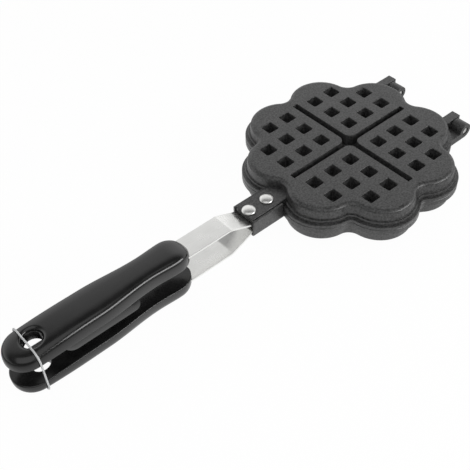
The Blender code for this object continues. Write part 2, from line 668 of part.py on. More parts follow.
def build():
    clear_scene()
    coated = finish_of("coated_cast_aluminium", (0.068, 0.068, 0.068), 0.55)
    steel = finish_of("satin_stainless_steel", (0.62, 0.62, 0.61), 0.32, 1.0)
    bright = finish_of("plated_steel", (0.80, 0.80, 0.79), 0.18, 1.0)
    phenolic = finish_of("black_phenolic", (0.012, 0.012, 0.012), 0.22)
    clear = finish_of("clear_nylon", (0.86, 0.87, 0.87), 0.25, alpha=0.7)

    upper = [make_upper_plate(coated)]
    make_lower_plate(coated)
    for name, lower_span, upper_span in hinge_spans():
        pin = rod(f"{name}_hinge_pin", PIN_RADIUS, (HINGE_X, lower_span[0] + PIN_SINK, PARTING),
                  (HINGE_X, upper_span[1] - PIN_SINK, PARTING))
        dress(pin, bright)

    rivet_drill = RIVET_SHANK_RADIUS + GAP
    upper.append(make_strip("upper_strip", UPPER_SOCKET_Z, HANDLE_MIDDLE + STRIP_OFFSET,
                            rivet_drill, steel))
    make_strip("lower_strip", LOWER_SOCKET_Z, HANDLE_MIDDLE - STRIP_OFFSET, rivet_drill, steel)

    half = STRIP_THICKNESS / 2
    for word, place in zip(("inner", "outer"), RIVET_PLACES):
        upper.append(make_rivet(f"upper_{word}_rivet", place, PARTING + TONGUE_TOP,
                                UPPER_SOCKET_Z - half, 1, bright))
        make_rivet(f"lower_{word}_rivet", place, PARTING - TROUGH_DEPTH,
                   LOWER_SOCKET_Z + half, -1, bright)

    upper.append(make_grip("upper_grip", 1, phenolic))
    make_grip("lower_grip", -1, phenolic)
    make_tie(clear)
    hinge_frame(upper)


build()
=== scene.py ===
import json
import math

import bmesh
import bpy
from mathutils import Matrix, Vector


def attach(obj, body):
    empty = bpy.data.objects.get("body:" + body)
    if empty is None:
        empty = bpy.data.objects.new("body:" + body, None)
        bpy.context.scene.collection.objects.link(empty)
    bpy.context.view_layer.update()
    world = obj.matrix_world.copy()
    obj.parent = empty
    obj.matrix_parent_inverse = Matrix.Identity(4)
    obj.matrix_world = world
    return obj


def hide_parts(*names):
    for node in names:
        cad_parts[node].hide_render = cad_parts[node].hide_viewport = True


# Waffle iron for a hob: coated castings, riveted steel strips and moulded grips.
# Metres, +X runs from the grips to the hinge.
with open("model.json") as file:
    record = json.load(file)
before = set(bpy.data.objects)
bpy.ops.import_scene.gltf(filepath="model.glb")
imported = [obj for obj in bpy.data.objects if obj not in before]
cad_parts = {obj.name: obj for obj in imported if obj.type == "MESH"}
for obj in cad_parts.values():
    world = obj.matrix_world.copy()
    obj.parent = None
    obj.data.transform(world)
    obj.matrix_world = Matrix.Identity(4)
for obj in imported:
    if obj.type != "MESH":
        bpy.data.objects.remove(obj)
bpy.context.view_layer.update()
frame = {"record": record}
mm = 0.001
same = 0.001 * mm    # heights and places closer than this are equal
weld = 0.002 * mm    # verts closer than this become one
past = 2.0    # millimetres by which a cutting tool runs past what it cuts
scene = bpy.context.scene
layout = {
    "plateX": 92.75 * mm,    # middle of the two castings
    "hingeX": 173.55 * mm,
    "parting": 19.2 * mm,    # plane between the castings, which holds the hinge axis
    "gripMiddle": 18.0 * mm,    # plane between the grips
}
print("frame loaded")


# Small helpers
def sRgb(code):
    channels = [int(code[k:k + 2], 16) / 255 for k in (1, 3, 5)]
    return (*[c / 12.92 if c <= 0.04045 else ((c + 0.055) / 1.055)**2.4 for c in channels], 1.0)


def addNode(tree, kind, inputs=None, **settings):
    node = tree.nodes.new(kind)
    for name, value in settings.items():
        setattr(node, name, value)
    for name, value in (inputs or {}).items():
        if isinstance(value, bpy.types.NodeSocket):
            tree.links.new(value, node.inputs[name])
        else:
            node.inputs[name].default_value = value
    return node


def newFinish(name):
    material = bpy.data.materials.new(name)
    material.use_nodes = True
    tree = material.node_tree
    place = addNode(tree, "ShaderNodeTexCoord").outputs["Object"]
    return material, tree, tree.nodes["Principled BSDF"], place


def noise(tree, place, size, detail=2.0, roughness=0.5):
    return addNode(tree, "ShaderNodeTexNoise", {
        "Vector": place, "Scale": 1 / (size * mm), "Detail": detail, "Roughness": roughness}).outputs["Fac"]


def span(tree, value, low, high, toLow=0.0, toHigh=1.0):
    return addNode(tree, "ShaderNodeMapRange", {
        "Value": value, "From Min": low, "From Max": high,
        "To Min": toLow, "To Max": toHigh}).outputs["Result"]


def blend(tree, share, first, second):
    return addNode(tree, "ShaderNodeMix", {0: share, 6: sRgb(first), 7: sRgb(second)},
                   data_type="RGBA").outputs[2]


def dress(tree, shader, colour, shade, height=None, strength=0.0, distance=0.0):
    # Colour and roughness from nodes, and a bump whose distance is in millimetres
    if isinstance(colour, str):
        shader.inputs["Base Color"].default_value = sRgb(colour)
    else:
        tree.links.new(colour, shader.inputs["Base Color"])
    tree.links.new(shade, shader.inputs["Roughness"])
    if height:
        bump = addNode(tree, "ShaderNodeBump", {
            "Height": height, "Strength": strength, "Distance": distance * mm})
        tree.links.new(bump.outputs["Normal"], shader.inputs["Normal"])


def link(name, data):
    thing = bpy.data.objects.new(name, data)
    scene.collection.objects.link(thing)
    return thing


def finishPiece(name, bm, finish, node, smoothAngle=38, flats=0):
    # Faces of more than flats square millimetres keep a crisp border. Without it, normals are weighted.
    body = next(b for b, members in frame["record"]["behaviour"]["bodies"].items() if node in members)
    for f in bm.faces:
        f.smooth = True
    for e in bm.edges:
        bordersFlat = flats and max((f.calc_area() for f in e.link_faces), default=0) > flats * mm * mm
        e.smooth = e.calc_face_angle(0) < math.radians(4 if bordersFlat else smoothAngle)
    mesh = bpy.data.meshes.new(name)
    bm.to_mesh(mesh)
    bm.free()
    mesh.materials.append(finish)
    piece = link(name, mesh)
    if not flats:
        flat = piece.modifiers.new("flat", "WEIGHTED_NORMAL")    # keeps the flats flat beside small rounds
        flat.keep_sharp = True
    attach(piece, body)
    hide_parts(node)
    print(name, "made")


def combine(bm, tool, operation="DIFFERENCE"):
    pair = []
    for part in (bm, tool):
        mesh = bpy.data.meshes.new("part")
        part.to_mesh(mesh)
        part.free()
        pair.append(link("part", mesh))
    step = pair[0].modifiers.new("step", "BOOLEAN")
    step.operation = operation
    step.solver = "EXACT"
    step.object = pair[1]
    bpy.context.view_layer.update()
    result = bmesh.new()
    result.from_object(pair[0], bpy.context.evaluated_depsgraph_get())
    for thing in pair:
        bpy.data.objects.remove(thing, do_unlink=True)
    bmesh.ops.remove_doubles(result, verts=result.verts, dist=weld)
    return result


def vertsIn(geom):
    return [v for v in geom if isinstance(v, bmesh.types.BMVert)]


def edgesIn(geom):
    return [e for e in geom if isinstance(e, bmesh.types.BMEdge)]


def facesIn(geom):
    return [f for f in geom if isinstance(f, bmesh.types.BMFace)]


def bevel(bm, geom, offset, segments, affect="EDGES", clamp=False):
    bmesh.ops.bevel(bm, geom=geom, offset=offset * mm, segments=segments, profile=0.5,
                    affect=affect, material=-1, clamp_overlap=clamp)


def box(low, high):
    bm = bmesh.new()
    bmesh.ops.create_cube(bm, size=1.0)
    low, high = Vector(low), Vector(high)
    bmesh.ops.scale(bm, vec=high - low, verts=bm.verts)
    bmesh.ops.translate(bm, vec=(low + high) / 2, verts=bm.verts)
    return bm


def drill(radius, low, high, sides=48):
    bm = bmesh.new()
    run = Vector(high) - Vector(low)
    bmesh.ops.create_cone(bm, cap_ends=True, segments=sides, radius1=radius, radius2=radius,
                          depth=run.length)
    turn = run.to_track_quat("Z", "Y").to_matrix().to_4x4()
    middle = Matrix.Translation((Vector(low) + Vector(high)) / 2)
    bmesh.ops.transform(bm, matrix=middle @ turn, verts=bm.verts)
    return bm


def lathe(profile, matrix, sides=48):
    bm = bmesh.new()
    points = [bm.verts.new((radius * mm, 0, height * mm)) for radius, height in profile]
    edges = [bm.edges.new(pair) for pair in zip(points, points[1:])]
    bmesh.ops.spin(bm, geom=points + edges, cent=(0, 0, 0), axis=(0, 0, 1), angle=math.tau,
                   steps=sides, use_merge=True)
    bmesh.ops.remove_doubles(bm, verts=bm.verts, dist=weld)
    bmesh.ops.recalc_face_normals(bm, faces=bm.faces)
    bmesh.ops.transform(bm, matrix=matrix, verts=bm.verts)
    return bm


def soften(bm, width):
    # Rounds the sharp edges of a shape cut from blocks
    bmesh.ops.dissolve_limit(bm, angle_limit=math.radians(0.5), verts=bm.verts, edges=bm.edges)
    bevel(bm, [e for e in bm.edges if e.calc_face_angle(0) > math.radians(40)], width, 3, clamp=True)
    return bm


def fill(bm, edges, up):
    face = bmesh.ops.edgeloop_fill(bm, edges=edges)["faces"][0]
    face.normal_update()
    if face.normal.z * up < 0:
        face.normal_flip()
    return face


def quarterRound(radius, steps, outward=True):
    # Steps of (inset, depth) round a quarter circle. Outward starts level and ends upright.
    turns = [math.pi / 2 * k / steps for k in range(steps + 1)]
    if outward:
        spots = [(radius * math.sin(a), radius * (1 - math.cos(a))) for a in turns]
    else:
        spots = [(radius * (1 - math.cos(a)), radius * math.sin(a)) for a in turns]
    return [(b[0] - a[0], b[1] - a[1]) for a, b in zip(spots, spots[1:])]


# Finishes
def makeCoating():
    # Non-stick coating sprayed on blasted cast aluminium: matt charcoal with a fine grain
    material, tree, shader, place = newFinish("nonStickCoating")
    grain = noise(tree, place, 1.3, 4.0, 0.7)
    sprayed = noise(tree, place, 14)
    speckled = blend(tree, span(tree, grain, 0.38, 0.64), "#0C0C0C", "#424242")
    dress(tree, shader, speckled, span(tree, sprayed, 0.3, 0.7, 0.36, 0.44), grain, 0.75, 0.12)
    shader.inputs["IOR"].default_value = 1.58
    return material


def makeSteel():
    # Stainless strip with a rolled satin face: fine lines along its length, a few handling scratches
    material, tree, shader, place = newFinish("satinStainless")
    along = addNode(tree, "ShaderNodeMapping", {"Vector": place, "Scale": (0.05, 1.0, 1.0)})
    rolled = noise(tree, along.outputs["Vector"], 0.5, 4.0, 0.65)
    askew = addNode(tree, "ShaderNodeMapping", {
        "Vector": place, "Rotation": (0, 0, 0.5), "Scale": (0.10, 1.6, 1.0)})
    scratch = noise(tree, askew.outputs["Vector"], 1.1, 1.0)
    worn = noise(tree, place, 9, 3.0)
    lines = addNode(tree, "ShaderNodeMath", {0: rolled, 1: scratch}, operation="ADD").outputs[0]
    satin = blend(tree, rolled, "#D6D6D4", "#E8E8E6")
    dress(tree, shader, satin, span(tree, worn, 0.3, 0.7, 0.24, 0.36), lines, 0.12, 0.04)
    shader.inputs["Metallic"].default_value = 1.0
    return material


def makePlating():
    # Bright nickel plating on rivets and pins, with a slightly uneven polish
    material, tree, shader, place = newFinish("nickelPlating")
    polish = noise(tree, place, 1.6, 3.0)
    dress(tree, shader, "#DCDCDA", span(tree, polish, 0.3, 0.7, 0.27, 0.38), polish, 0.25, 0.10)
    shader.inputs["Metallic"].default_value = 1.0
    return material


def makePhenolic():
    # Black phenolic pressed in a polished mould: glossy, with a faint cloudiness and long low ripples
    material, tree, shader, place = newFinish("blackPhenolic")
    cloud = noise(tree, place, 6, 4.0, 0.6)
    clouded = blend(tree, cloud, "#0A0A0A", "#151515")
    dress(tree, shader, clouded, span(tree, cloud, 0.3, 0.7, 0.16, 0.24), cloud, 0.05, 0.10)
    shader.inputs["IOR"].default_value = 1.55
    return material


def makeNylon():
    # Clear nylon strand: milky where it bends, see-through along its run
    material, tree, shader, place = newFinish("clearNylon")
    milk = noise(tree, place, 1.8)
    dress(tree, shader, blend(tree, milk, "#C8CACB", "#F4F5F5"), span(tree, milk, 0.0, 1.0, 0.2, 0.4))
    shader.inputs["IOR"].default_value = 1.53
    shader.inputs["Transmission Weight"].default_value = 0.35
    return material


coating, steel, plating = makeCoating(), makeSteel(), makePlating()
phenolic, nylon = makePhenolic(), makeNylon()
print("finishes made")


# Castings. Sizes in millimetres, heights measured from the parting plane.
plan = {"lobeNear": 19.55, "lobeFar": 46.75, "valleyReach": 32.1, "flange": 26.9}
pocket = {
    "pitch": 17.0, "first": 13.9, "half": 4.6, "floorHalf": 3.3, "floor": 4.4,
    "corner": 1.0, "lip": 0.5, "mouthHalf": 5.0, "root": 0.7,
    "grooveHalf": 2.25, "grooveFloorHalf": 1.35, "grooveReach": 55.2, "grooveCorner": 5.0,
    "grooveLip": 0.35, "grooveMouthHalf": 2.5, "grooveRoot": (0.4, 0.3),
}
waffle = {
    "roof": 3.4, "cavity": 20.2, "cavityFloor": 19.2, "pegWall": 2.1, "pegTop": 2.3, "pegCorner": 0.9,
    "ridgeWall": 2.1, "ridgeTop": 0.2, "ridgeCorner": 3.4, "ridgeEnd": 59.15, "ridgeInWall": 2.2,
    "ridgeEndFrom": 50.0, "rimBreak": 0.4, "cavityRound": 0.3, "pegRound": 0.6, "ridgeRound": 0.4,
}
upperCast = {
    "height": 13.1, "side": 1,
    "outline": [(26.9, 2.1), (26.75, 2.45), (26.4, 2.6), (25.1, 2.65), (24.9, 2.75), (24.9, 4.6),
                (24.75, 4.95), (24.4, 5.1), (23.75, 5.1), (23.6, 5.3), (23.0, 10.5)],
    "shoulder": (3.3, 2.6),
}
lowerCast = {
    "height": 14.4, "side": -1,
    "outline": [(26.9, 4.1), (26.75, 4.45), (26.4, 4.6), (24.1, 4.6), (23.9, 4.8), (23.2, 11.8)],
    "shoulder": (2.6, 2.6),
}


def lobedFace(bm, radius):
    near, far, reach = plan["lobeNear"] * mm, plan["lobeFar"] * mm, plan["valleyReach"] * mm
    radius *= mm
    lobe = Vector((far, near, 0))
    sideValley = Vector((far + math.sqrt(reach**2 - near**2), 0, 0))
    slant = math.sqrt((reach**2 - (far - near)**2 / 2) / 2) + (far + near) / 2
    cornerValley = Vector((slant, slant, 0))
    sideTurn = math.atan2(near, sideValley.x - far)
    cornerTurn = math.atan2(slant - near, slant - far)
    tip = bm.verts.new((sideValley.x - reach + radius, 0, 0))
    for centre, turn, steps in ((sideValley, -sideTurn, 5), (lobe, sideTurn + cornerTurn, 24),
                                (cornerValley, math.pi / 4 - cornerTurn, 5)):
        spun = bmesh.ops.spin(bm, geom=[tip], cent=centre, axis=(0, 0, 1), angle=turn, steps=steps)
        tip = spun["geom_last"][0]
    twin = bmesh.ops.duplicate(bm, geom=bm.verts[:] + bm.edges[:])["geom"]
    swap = Matrix(((0, 1, 0, 0), (1, 0, 0, 0), (0, 0, 1, 0), (0, 0, 0, 1)))
    bmesh.ops.transform(bm, matrix=swap, verts=vertsIn(twin))
    bmesh.ops.spin(bm, geom=bm.verts[:] + bm.edges[:], cent=(0, 0, 0), axis=(0, 0, 1),
                   angle=1.5 * math.pi, steps=3, use_duplicate=True)
    bmesh.ops.remove_doubles(bm, verts=bm.verts, dist=0.01 * mm)
    return fill(bm, bm.edges[:], 1)


def insetFace(bm, face, inset, rise):
    # Rise is along the face's own normal
    bmesh.ops.inset_region(bm, faces=[face], thickness=inset * mm, depth=0.0, use_boundary=True,
                           use_even_offset=True)
    face.normal_update()
    bmesh.ops.translate(bm, vec=face.normal * rise * mm, verts=face.verts)


def score(bm, face, places):
    # Cuts a flat face into cells along both axes
    geom = [face, *face.edges, *face.verts]
    for place in places:
        for normal in ((1, 0, 0), (0, 1, 0), (-1, 0, 0), (0, -1, 0)):
            cut = bmesh.ops.bisect_plane(bm, geom=geom, dist=same, plane_no=normal,
                                         plane_co=Vector(normal) * place * mm)
            geom = cut["geom"]
    return facesIn(geom)


def facesAt(bm, level):
    return [f for f in bm.faces if abs(f.calc_center_median().z - level) < same]


def crossOf(bm, faces, half, reach, corner):
    # Joins the cells of the cross into one face and rounds its inner corners
    def inside(f):
        c = f.calc_center_median() / mm
        return min(abs(c.x), abs(c.y)) < half and max(abs(c.x), abs(c.y)) < reach
    cross = bmesh.ops.dissolve_faces(bm, faces=[f for f in faces if inside(f)])["region"][0]
    level = cross.calc_center_median().z
    inner = [v for v in cross.verts if all(abs(abs(c) - half * mm) < same for c in v.co.xy)]
    bevel(bm, inner, corner, 8, "VERTICES")
    centred = [f for f in facesAt(bm, level) if f.calc_center_median().xy.length < 1 * mm]
    return max(centred, key=lambda f: f.calc_area())


rows = [pocket["first"] + pocket["pitch"] * k for k in range(3)]
heart = [(x, y) for x in rows for y in rows if (x, y) != (rows[-1], rows[-1])]
spots = [(i * x * mm, j * y * mm) for x, y in heart for i in (-1, 1) for j in (-1, 1)]


def cellsAt(bm, level, half):
    # The square cells at the pockets' places
    def square(f):
        c, area = f.calc_center_median(), (2 * half * mm)**2
        placed = any(abs(c.x - x) < 0.2 * mm and abs(c.y - y) < 0.2 * mm for x, y in spots)
        return placed and abs(f.calc_area() - area) < 0.3 * area
    return [f for f in facesAt(bm, level) if square(f)]


def roundCells(bm, level, half, radius, segments):
    bevel(bm, list({v for f in cellsAt(bm, level, half) for v in f.verts}), radius, segments, "VERTICES")
    return cellsAt(bm, level, half)


def sink(bm, faces, half, steps):
    # Moves each cell along its normal in steps of (new half width, distance)
    for newHalf, depth in steps:
        bmesh.ops.inset_individual(bm, faces=faces, thickness=0.0, depth=depth * mm)
        for f in faces:
            centre = f.calc_center_median()
            bmesh.ops.scale(bm, vec=(newHalf / half, newHalf / half, 1), verts=f.verts,
                            space=Matrix.Translation(-centre))
        half = newHalf


def castShell(values):
    height = values["height"]
    bm = bmesh.new()
    top = lobedFace(bm, plan["flange"])
    radius, level = plan["flange"], waffle["rimBreak"]
    bmesh.ops.translate(bm, vec=(0, 0, level * mm), verts=bm.verts)
    wide, high = values["shoulder"]
    foot, start = values["outline"][-1]
    shoulder = [(foot - wide * (1 - math.cos(a)), start + high * math.sin(a))
                for a in (math.pi / 2 * k / 7 for k in range(1, 8))]
    for newRadius, newLevel in values["outline"] + shoulder:
        insetFace(bm, top, radius - newRadius, newLevel - level)
        radius, level = newRadius, newLevel

    # Outer face: pockets and the cross groove
    lip, half, groove = pocket["lip"], pocket["mouthHalf"], pocket["grooveMouthHalf"]
    deep = height - pocket["floor"]
    lines = [groove, pocket["grooveReach"]] + [row + s * half for row in rows for s in (-1, 1)]
    cross = crossOf(bm, score(bm, top, lines), groove, pocket["grooveReach"], pocket["grooveCorner"])
    pockets = roundCells(bm, height * mm, half, pocket["corner"], 4)
    steps, now = [], half
    for inset, depth in quarterRound(lip, 4):
        now -= inset
        steps.append((now, -depth))
    slope = (now - pocket["floorHalf"]) / (deep - lip)
    straight = deep - lip - pocket["root"]
    now -= slope * straight
    steps.append((now, -straight))
    for inset, depth in quarterRound(pocket["root"], 3, False):
        now -= inset
        steps.append((now, -depth))
    sink(bm, pockets, half, steps)
    for inset, depth in quarterRound(pocket["grooveLip"], 4):
        insetFace(bm, cross, inset, -depth)
    rootWide, rootHigh = pocket["grooveRoot"]
    insetFace(bm, cross, pocket["grooveHalf"] - pocket["grooveFloorHalf"],
              -(deep - pocket["grooveLip"] - rootHigh))
    insetFace(bm, cross, rootWide, -rootHigh)

    # Waffle side: rim, heart cavities, pegs and ridges
    rim = fill(bm, [e for e in bm.edges if e.is_boundary], -1)
    rimBreak, cavityRound, floor = waffle["rimBreak"], waffle["cavityRound"], height - waffle["roof"]
    insetFace(bm, rim, rimBreak, rimBreak)
    insetFace(bm, rim, plan["flange"] - rimBreak - waffle["cavity"] - cavityRound, 0.0)
    for inset, depth in quarterRound(cavityRound, 3):
        insetFace(bm, rim, inset, -depth)
    insetFace(bm, rim, waffle["cavity"] - waffle["cavityFloor"], -(floor - cavityRound))
    slope = (pocket["half"] - pocket["floorHalf"]) / deep
    pegHalf = pocket["half"] - slope * waffle["roof"] + waffle["pegWall"]
    pegEnd = pocket["half"] - slope * (height - waffle["pegTop"]) + waffle["pegWall"]
    slope = (pocket["grooveHalf"] - pocket["grooveFloorHalf"]) / deep
    ridgeHalf = pocket["grooveHalf"] - slope * waffle["roof"] + waffle["ridgeWall"]
    ridgeEndHalf = pocket["grooveHalf"] - slope * height + waffle["ridgeWall"]
    lines = [ridgeHalf, waffle["ridgeEnd"]] + [row + s * pegHalf for row in rows for s in (-1, 1)]
    ridge = crossOf(bm, score(bm, rim, lines), ridgeHalf, waffle["ridgeEnd"], waffle["ridgeCorner"])
    pegs = roundCells(bm, floor * mm, pegHalf, waffle["pegCorner"], 3)
    tall = floor - waffle["pegTop"]
    steps, now = [(pegEnd, tall - waffle["pegRound"])], pegEnd
    for inset, depth in quarterRound(waffle["pegRound"], 3, False):
        now -= inset
        steps.append((now, depth))
    sink(bm, pegs, pegHalf, steps)
    before = set(bm.verts)
    insetFace(bm, ridge, ridgeHalf - ridgeEndHalf, floor - waffle["ridgeTop"] - waffle["ridgeRound"])
    for inset, depth in quarterRound(waffle["ridgeRound"], 3, False):
        insetFace(bm, ridge, inset, depth)
    ends = [v for v in bm.verts if v not in before and v.co.z < (floor - 1) * mm
            and max(abs(v.co.x), abs(v.co.y)) > waffle["ridgeEndFrom"] * mm]
    for v in ends:    # the ridge's ends run into the wall
        if abs(v.co.x) > abs(v.co.y):
            v.co.x += math.copysign(waffle["ridgeInWall"] * mm, v.co.x)
        else:
            v.co.y += math.copysign(waffle["ridgeInWall"] * mm, v.co.y)
    return bm


def place(bm, side, x):
    # Turns a casting made in its own frame up or down, at its place along the iron
    spot = Matrix.Translation((x, 0, layout["parting"])) @ Matrix.Diagonal((1, 1, side, 1))
    bmesh.ops.transform(bm, matrix=spot, verts=bm.verts)
    bmesh.ops.recalc_face_normals(bm, faces=bm.faces)
    return bm


hinge = {
    "barrel": 5.7, "lowerWidth": 9.9, "upperWidth": 7.0, "gap": 0.5, "pairAt": 30.6, "armStart": -24.8,
    "shelf": 0.3, "bore": 2.8, "edge": 0.45,
}


def hingeSpans():
    wide = hinge["lowerWidth"] + hinge["gap"] + hinge["upperWidth"]
    for word, middle in (("left", hinge["pairAt"]), ("right", -hinge["pairAt"])):
        low = middle - wide / 2
        yield word, (low, low + hinge["lowerWidth"]), (low + hinge["lowerWidth"] + hinge["gap"], low + wide)


def lug(start, stop, upper):
    # An arm out of the rim. The lower one ends in a barrel, the upper one keeps a square top.
    radius, shelf, foot = hinge["barrel"] * mm, hinge["shelf"] * mm, hinge["armStart"] * mm
    side = 1 if upper else -1
    bm = bmesh.new()
    first = bm.verts.new((-radius, 0, 0))
    spun = bmesh.ops.spin(bm, geom=[first], cent=(0, 0, 0), axis=(0, 1, 0), steps=32 if upper else 48,
                          angle=-math.pi if upper else 1.5 * math.pi)
    last = spun["geom_last"][0]
    corners = [(radius, 0, radius)] if upper else []
    corners += [(foot, 0, side * radius), (foot, 0, side * shelf), (-radius, 0, side * shelf)]
    for corner in corners:
        new = bm.verts.new(corner)
        bm.edges.new((last, new))
        last = new
    bm.edges.new((last, first))
    face = fill(bm, bm.edges[:], 1)
    bmesh.ops.translate(bm, vec=(0, start * mm, 0), verts=bm.verts)
    grown = bmesh.ops.extrude_face_region(bm, geom=[face], use_keep_orig=True)["geom"]
    bmesh.ops.translate(bm, vec=(0, (stop - start) * mm, 0), verts=vertsIn(grown))
    bmesh.ops.recalc_face_normals(bm, faces=bm.faces)
    bevel(bm, [e for e in bm.edges if e.calc_face_angle(0) > math.radians(40)], hinge["edge"], 3, clamp=True)
    bm = combine(bm, drill(hinge["bore"] * mm, (0, (start - past) * mm, 0), (0, (stop + past) * mm, 0)))
    bmesh.ops.translate(bm, vec=(layout["hingeX"], 0, layout["parting"]), verts=bm.verts)
    return bm


rivet = {
    "places": (78.0, 93.5), "head": 4.7, "high": 1.6, "shank": 2.4, "tail": 3.6, "tailHigh": 0.8, "gap": 0.3,
    "foot": 0.35, "break": 0.15, "headGap": 0.22, "tailGap": 0.3, "tailDraft": 0.2,
    "upper": (26.4, 20.8), "lower": (12.1, 15.6),    # heights of the faces under head and tail
}


def rivetHoles(bm, low, high):
    for at in rivet["places"]:
        x = layout["plateX"] - at * mm
        bm = combine(bm, drill((rivet["shank"] + rivet["gap"]) * mm, (x, 0, low), (x, 0, high), 32))
    return bm


socket = {
    "tongueReach": 97.5, "tongueHalf": 8.2, "tongueTop": 7.2, "tongueThick": 3.8, "tongueCorner": 1.2,
    "tongueEdge": 0.55, "troughEdge": 0.4,
    "troughReach": 97.9, "troughHalf": 10.2, "wall": 1.6, "rim": 6.3, "depth": 7.1, "floor": 1.7,
    "corner": 2.4, "root": 56.0, "mouth": 72.0, "rimStart": 72.3,
}


def tongue():
    x, z = layout["plateX"], layout["parting"] + socket["tongueTop"] * mm
    half = socket["tongueHalf"] * mm
    bm = box((x - socket["tongueReach"] * mm, -half, z - socket["tongueThick"] * mm),
             (x - socket["root"] * mm, half, z))
    upright = [e for e in bm.edges if abs(e.verts[0].co.z - e.verts[1].co.z) > 1 * mm]
    bevel(bm, upright, socket["tongueCorner"], 4)
    low = z - (socket["tongueThick"] + past) * mm
    return rivetHoles(soften(bm, socket["tongueEdge"]), low, z + past * mm)


def trough():
    x, z = layout["plateX"], layout["parting"]
    half, rim, base = socket["troughHalf"] * mm, z + socket["rim"] * mm, z - socket["depth"] * mm
    outer, root = x - socket["troughReach"] * mm, x - socket["root"] * mm
    bm = box((outer, -half, base), (root, half, rim))
    low = [e for e in bm.edges if abs(e.verts[0].co.x - e.verts[1].co.x) > 1 * mm and e.verts[0].co.z < z]
    bevel(bm, low, socket["corner"], 6)
    clear, out = half - socket["wall"] * mm, past * mm
    bm = combine(bm, box((outer - out, -clear, base + socket["floor"] * mm),
                         (x - socket["mouth"] * mm, clear, rim + out)))
    bm = combine(bm, box((x - socket["rimStart"] * mm, -half - out, z - 0.02 * mm),
                         (root + out, half + out, rim + out)))
    return rivetHoles(soften(bm, socket["troughEdge"]), base - out, z)


for values, node, upper in ((upperCast, "upper_plate", True), (lowerCast, "lower_plate", False)):
    shell = place(castShell(values), values["side"], layout["plateX"])
    casting = combine(tongue() if upper else trough(), shell, "UNION")
    for word, lowerSpan, upperSpan in hingeSpans():
        casting = combine(casting, lug(*(upperSpan if upper else lowerSpan), upper), "UNION")
    finishPiece("upperCasting" if upper else "lowerCasting", casting, coating, node, 34)

pin = {"radius": 2.5, "sink": 0.6, "chamfer": 0.4}
for word, lowerSpan, upperSpan in hingeSpans():
    start, stop = lowerSpan[0] + pin["sink"], upperSpan[1] - pin["sink"]
    long = stop - start
    profile = [(0, 0), (pin["radius"] - pin["chamfer"], 0), (pin["radius"], pin["chamfer"]),
               (pin["radius"], long - pin["chamfer"]), (pin["radius"] - pin["chamfer"], long), (0, long)]
    spot = Matrix.Translation((layout["hingeX"], start * mm, layout["parting"]))
    turned = lathe(profile, spot @ Matrix.Rotation(-math.pi / 2, 4, "X"))
    finishPiece(word + "HingePin", turned, plating, word + "_hinge_pin")


# Strips: an edge is drawn along its line, bent on two radii, then thickened
strip = {
    "half": 8.25, "thick": 1.5, "start": 73.1, "rampStart": 97.6, "rampEnd": 114.8, "end": 237.0,
    "bend": 4.0, "edge": 0.22, "offset": 10.8,
    "upper": 21.55, "lower": 14.85,    # heights in the sockets
}


def bentStrip(socketZ, gripZ):
    x = layout["plateX"] / mm
    run = strip["rampEnd"] - strip["rampStart"]
    slope = math.atan2(gripZ - socketZ, run)
    setback = strip["bend"] * math.tan(abs(slope) / 2)
    bm = bmesh.new()
    edge = bm.edges.new([bm.verts.new(((x - strip["start"]) * mm, y * mm, socketZ * mm))
                         for y in (-strip["half"], strip["half"])])

    def draw(edge, vec):
        grown = bmesh.ops.extrude_edge_only(bm, edges=[edge])["geom"]
        bmesh.ops.translate(bm, vec=Vector(vec) * mm, verts=vertsIn(grown))
        return edgesIn(grown)[0]

    def bend(edge, heading, turn):
        normal = Vector((-heading.z, 0, heading.x)) * math.copysign(1, turn)
        centre = edge.verts[0].co + normal * strip["bend"] * mm
        spun = bmesh.ops.spin(bm, geom=[edge, *edge.verts], cent=centre, axis=(0, 1, 0), angle=-turn, steps=8)
        return edgesIn(spun["geom_last"])[0]

    level = Vector((-1, 0, 0))
    ramp = Vector((-math.cos(slope), 0, math.sin(slope)))
    long = (run**2 + (gripZ - socketZ)**2)**0.5
    edge = draw(edge, level * (strip["rampStart"] - strip["start"] - setback))
    edge = bend(edge, level, -slope)
    edge = draw(edge, ramp * (long - 2 * setback))
    edge = bend(edge, ramp, slope)
    edge = draw(edge, level * (strip["end"] - strip["rampEnd"] - setback))
    bmesh.ops.remove_doubles(bm, verts=bm.verts, dist=weld)
    bmesh.ops.recalc_face_normals(bm, faces=bm.faces)
    bmesh.ops.solidify(bm, geom=bm.faces[:], thickness=strip["thick"] * mm)
    bmesh.ops.recalc_face_normals(bm, faces=bm.faces)
    # Its run inside the grip lies at the height given
    zs = [v.co.z for v in bm.verts if v.co.x < (x - 200) * mm]
    bmesh.ops.translate(bm, vec=(0, 0, gripZ * mm - (max(zs) + min(zs)) / 2), verts=bm.verts)
    bevel(bm, [e for e in bm.edges if e.calc_face_angle(0) > math.radians(50)], strip["edge"], 2)
    return bm


for word, side in (("upper", 1), ("lower", -1)):
    level = strip[word]
    bent = bentStrip(level, layout["gripMiddle"] / mm + side * strip["offset"])
    bent = rivetHoles(bent, (level - past) * mm, (level + past) * mm)
    finishPiece(word + "Strip", bent, steel, word + "_strip")

for word, angle in (("upper", 0), ("lower", math.pi)):
    seat, far = rivet[word]
    under, lift = -abs(seat - far) - rivet["tailGap"], rivet["headGap"]
    end = under - rivet["tailHigh"]
    dome = [(rivet["head"] * math.cos(a), rivet["foot"] + rivet["high"] * math.sin(a))
            for a in (math.pi / 2 * k / 10 for k in range(10, -1, -1))]
    profile = dome + [(rivet["head"] - rivet["break"], lift), (rivet["shank"], lift), (rivet["shank"], under),
                      (rivet["tail"], under), (rivet["tail"] - rivet["tailDraft"], end), (0, end)]
    for order, at in zip(("inner", "outer"), rivet["places"]):
        spot = Matrix.Translation((layout["plateX"] - at * mm, 0, seat * mm)) @ Matrix.Rotation(angle, 4, "X")
        turned = lathe(profile, spot, 64)
        finishPiece(word + order.title() + "Rivet", turned, plating, f"{word}_{order}_rivet")


